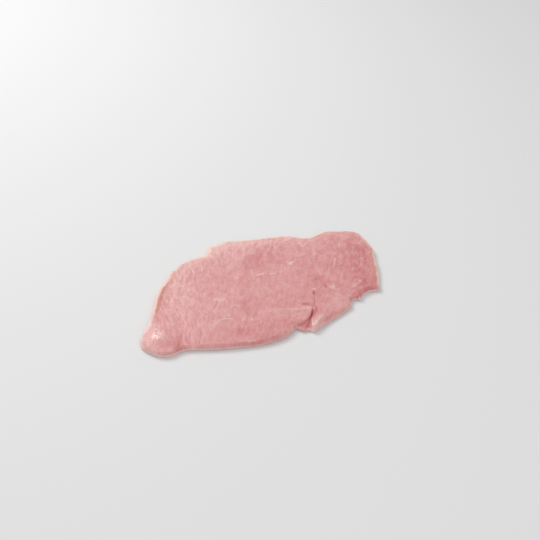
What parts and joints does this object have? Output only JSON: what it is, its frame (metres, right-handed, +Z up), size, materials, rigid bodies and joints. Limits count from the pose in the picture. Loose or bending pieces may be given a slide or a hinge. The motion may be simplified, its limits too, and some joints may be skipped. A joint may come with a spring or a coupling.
{
  "type": "raw veal escalope",
  "caption": "Thin raw slice of veal leg with a plump narrow tip, a pale skin edge, a ragged lower corner and a tear in its cut edge.",
  "frame": {"origin": "middle of the flat face that the slice rests on", "axes": "+X along the slice from the plump tip to the blunt end, +Y across it towards the edge with the pale skin, +Z up through its thickness"},
  "size_m": [0.197, 0.121, 0.0072],
  "materials": {
    "veal": "moist raw veal, pale pink with a fine cream grain, deeper pink along the cut edge and a cream skin along the other"
  },
  "bodies": {
    "root": {"escalope": "veal"}
  },
  "joints": []
}
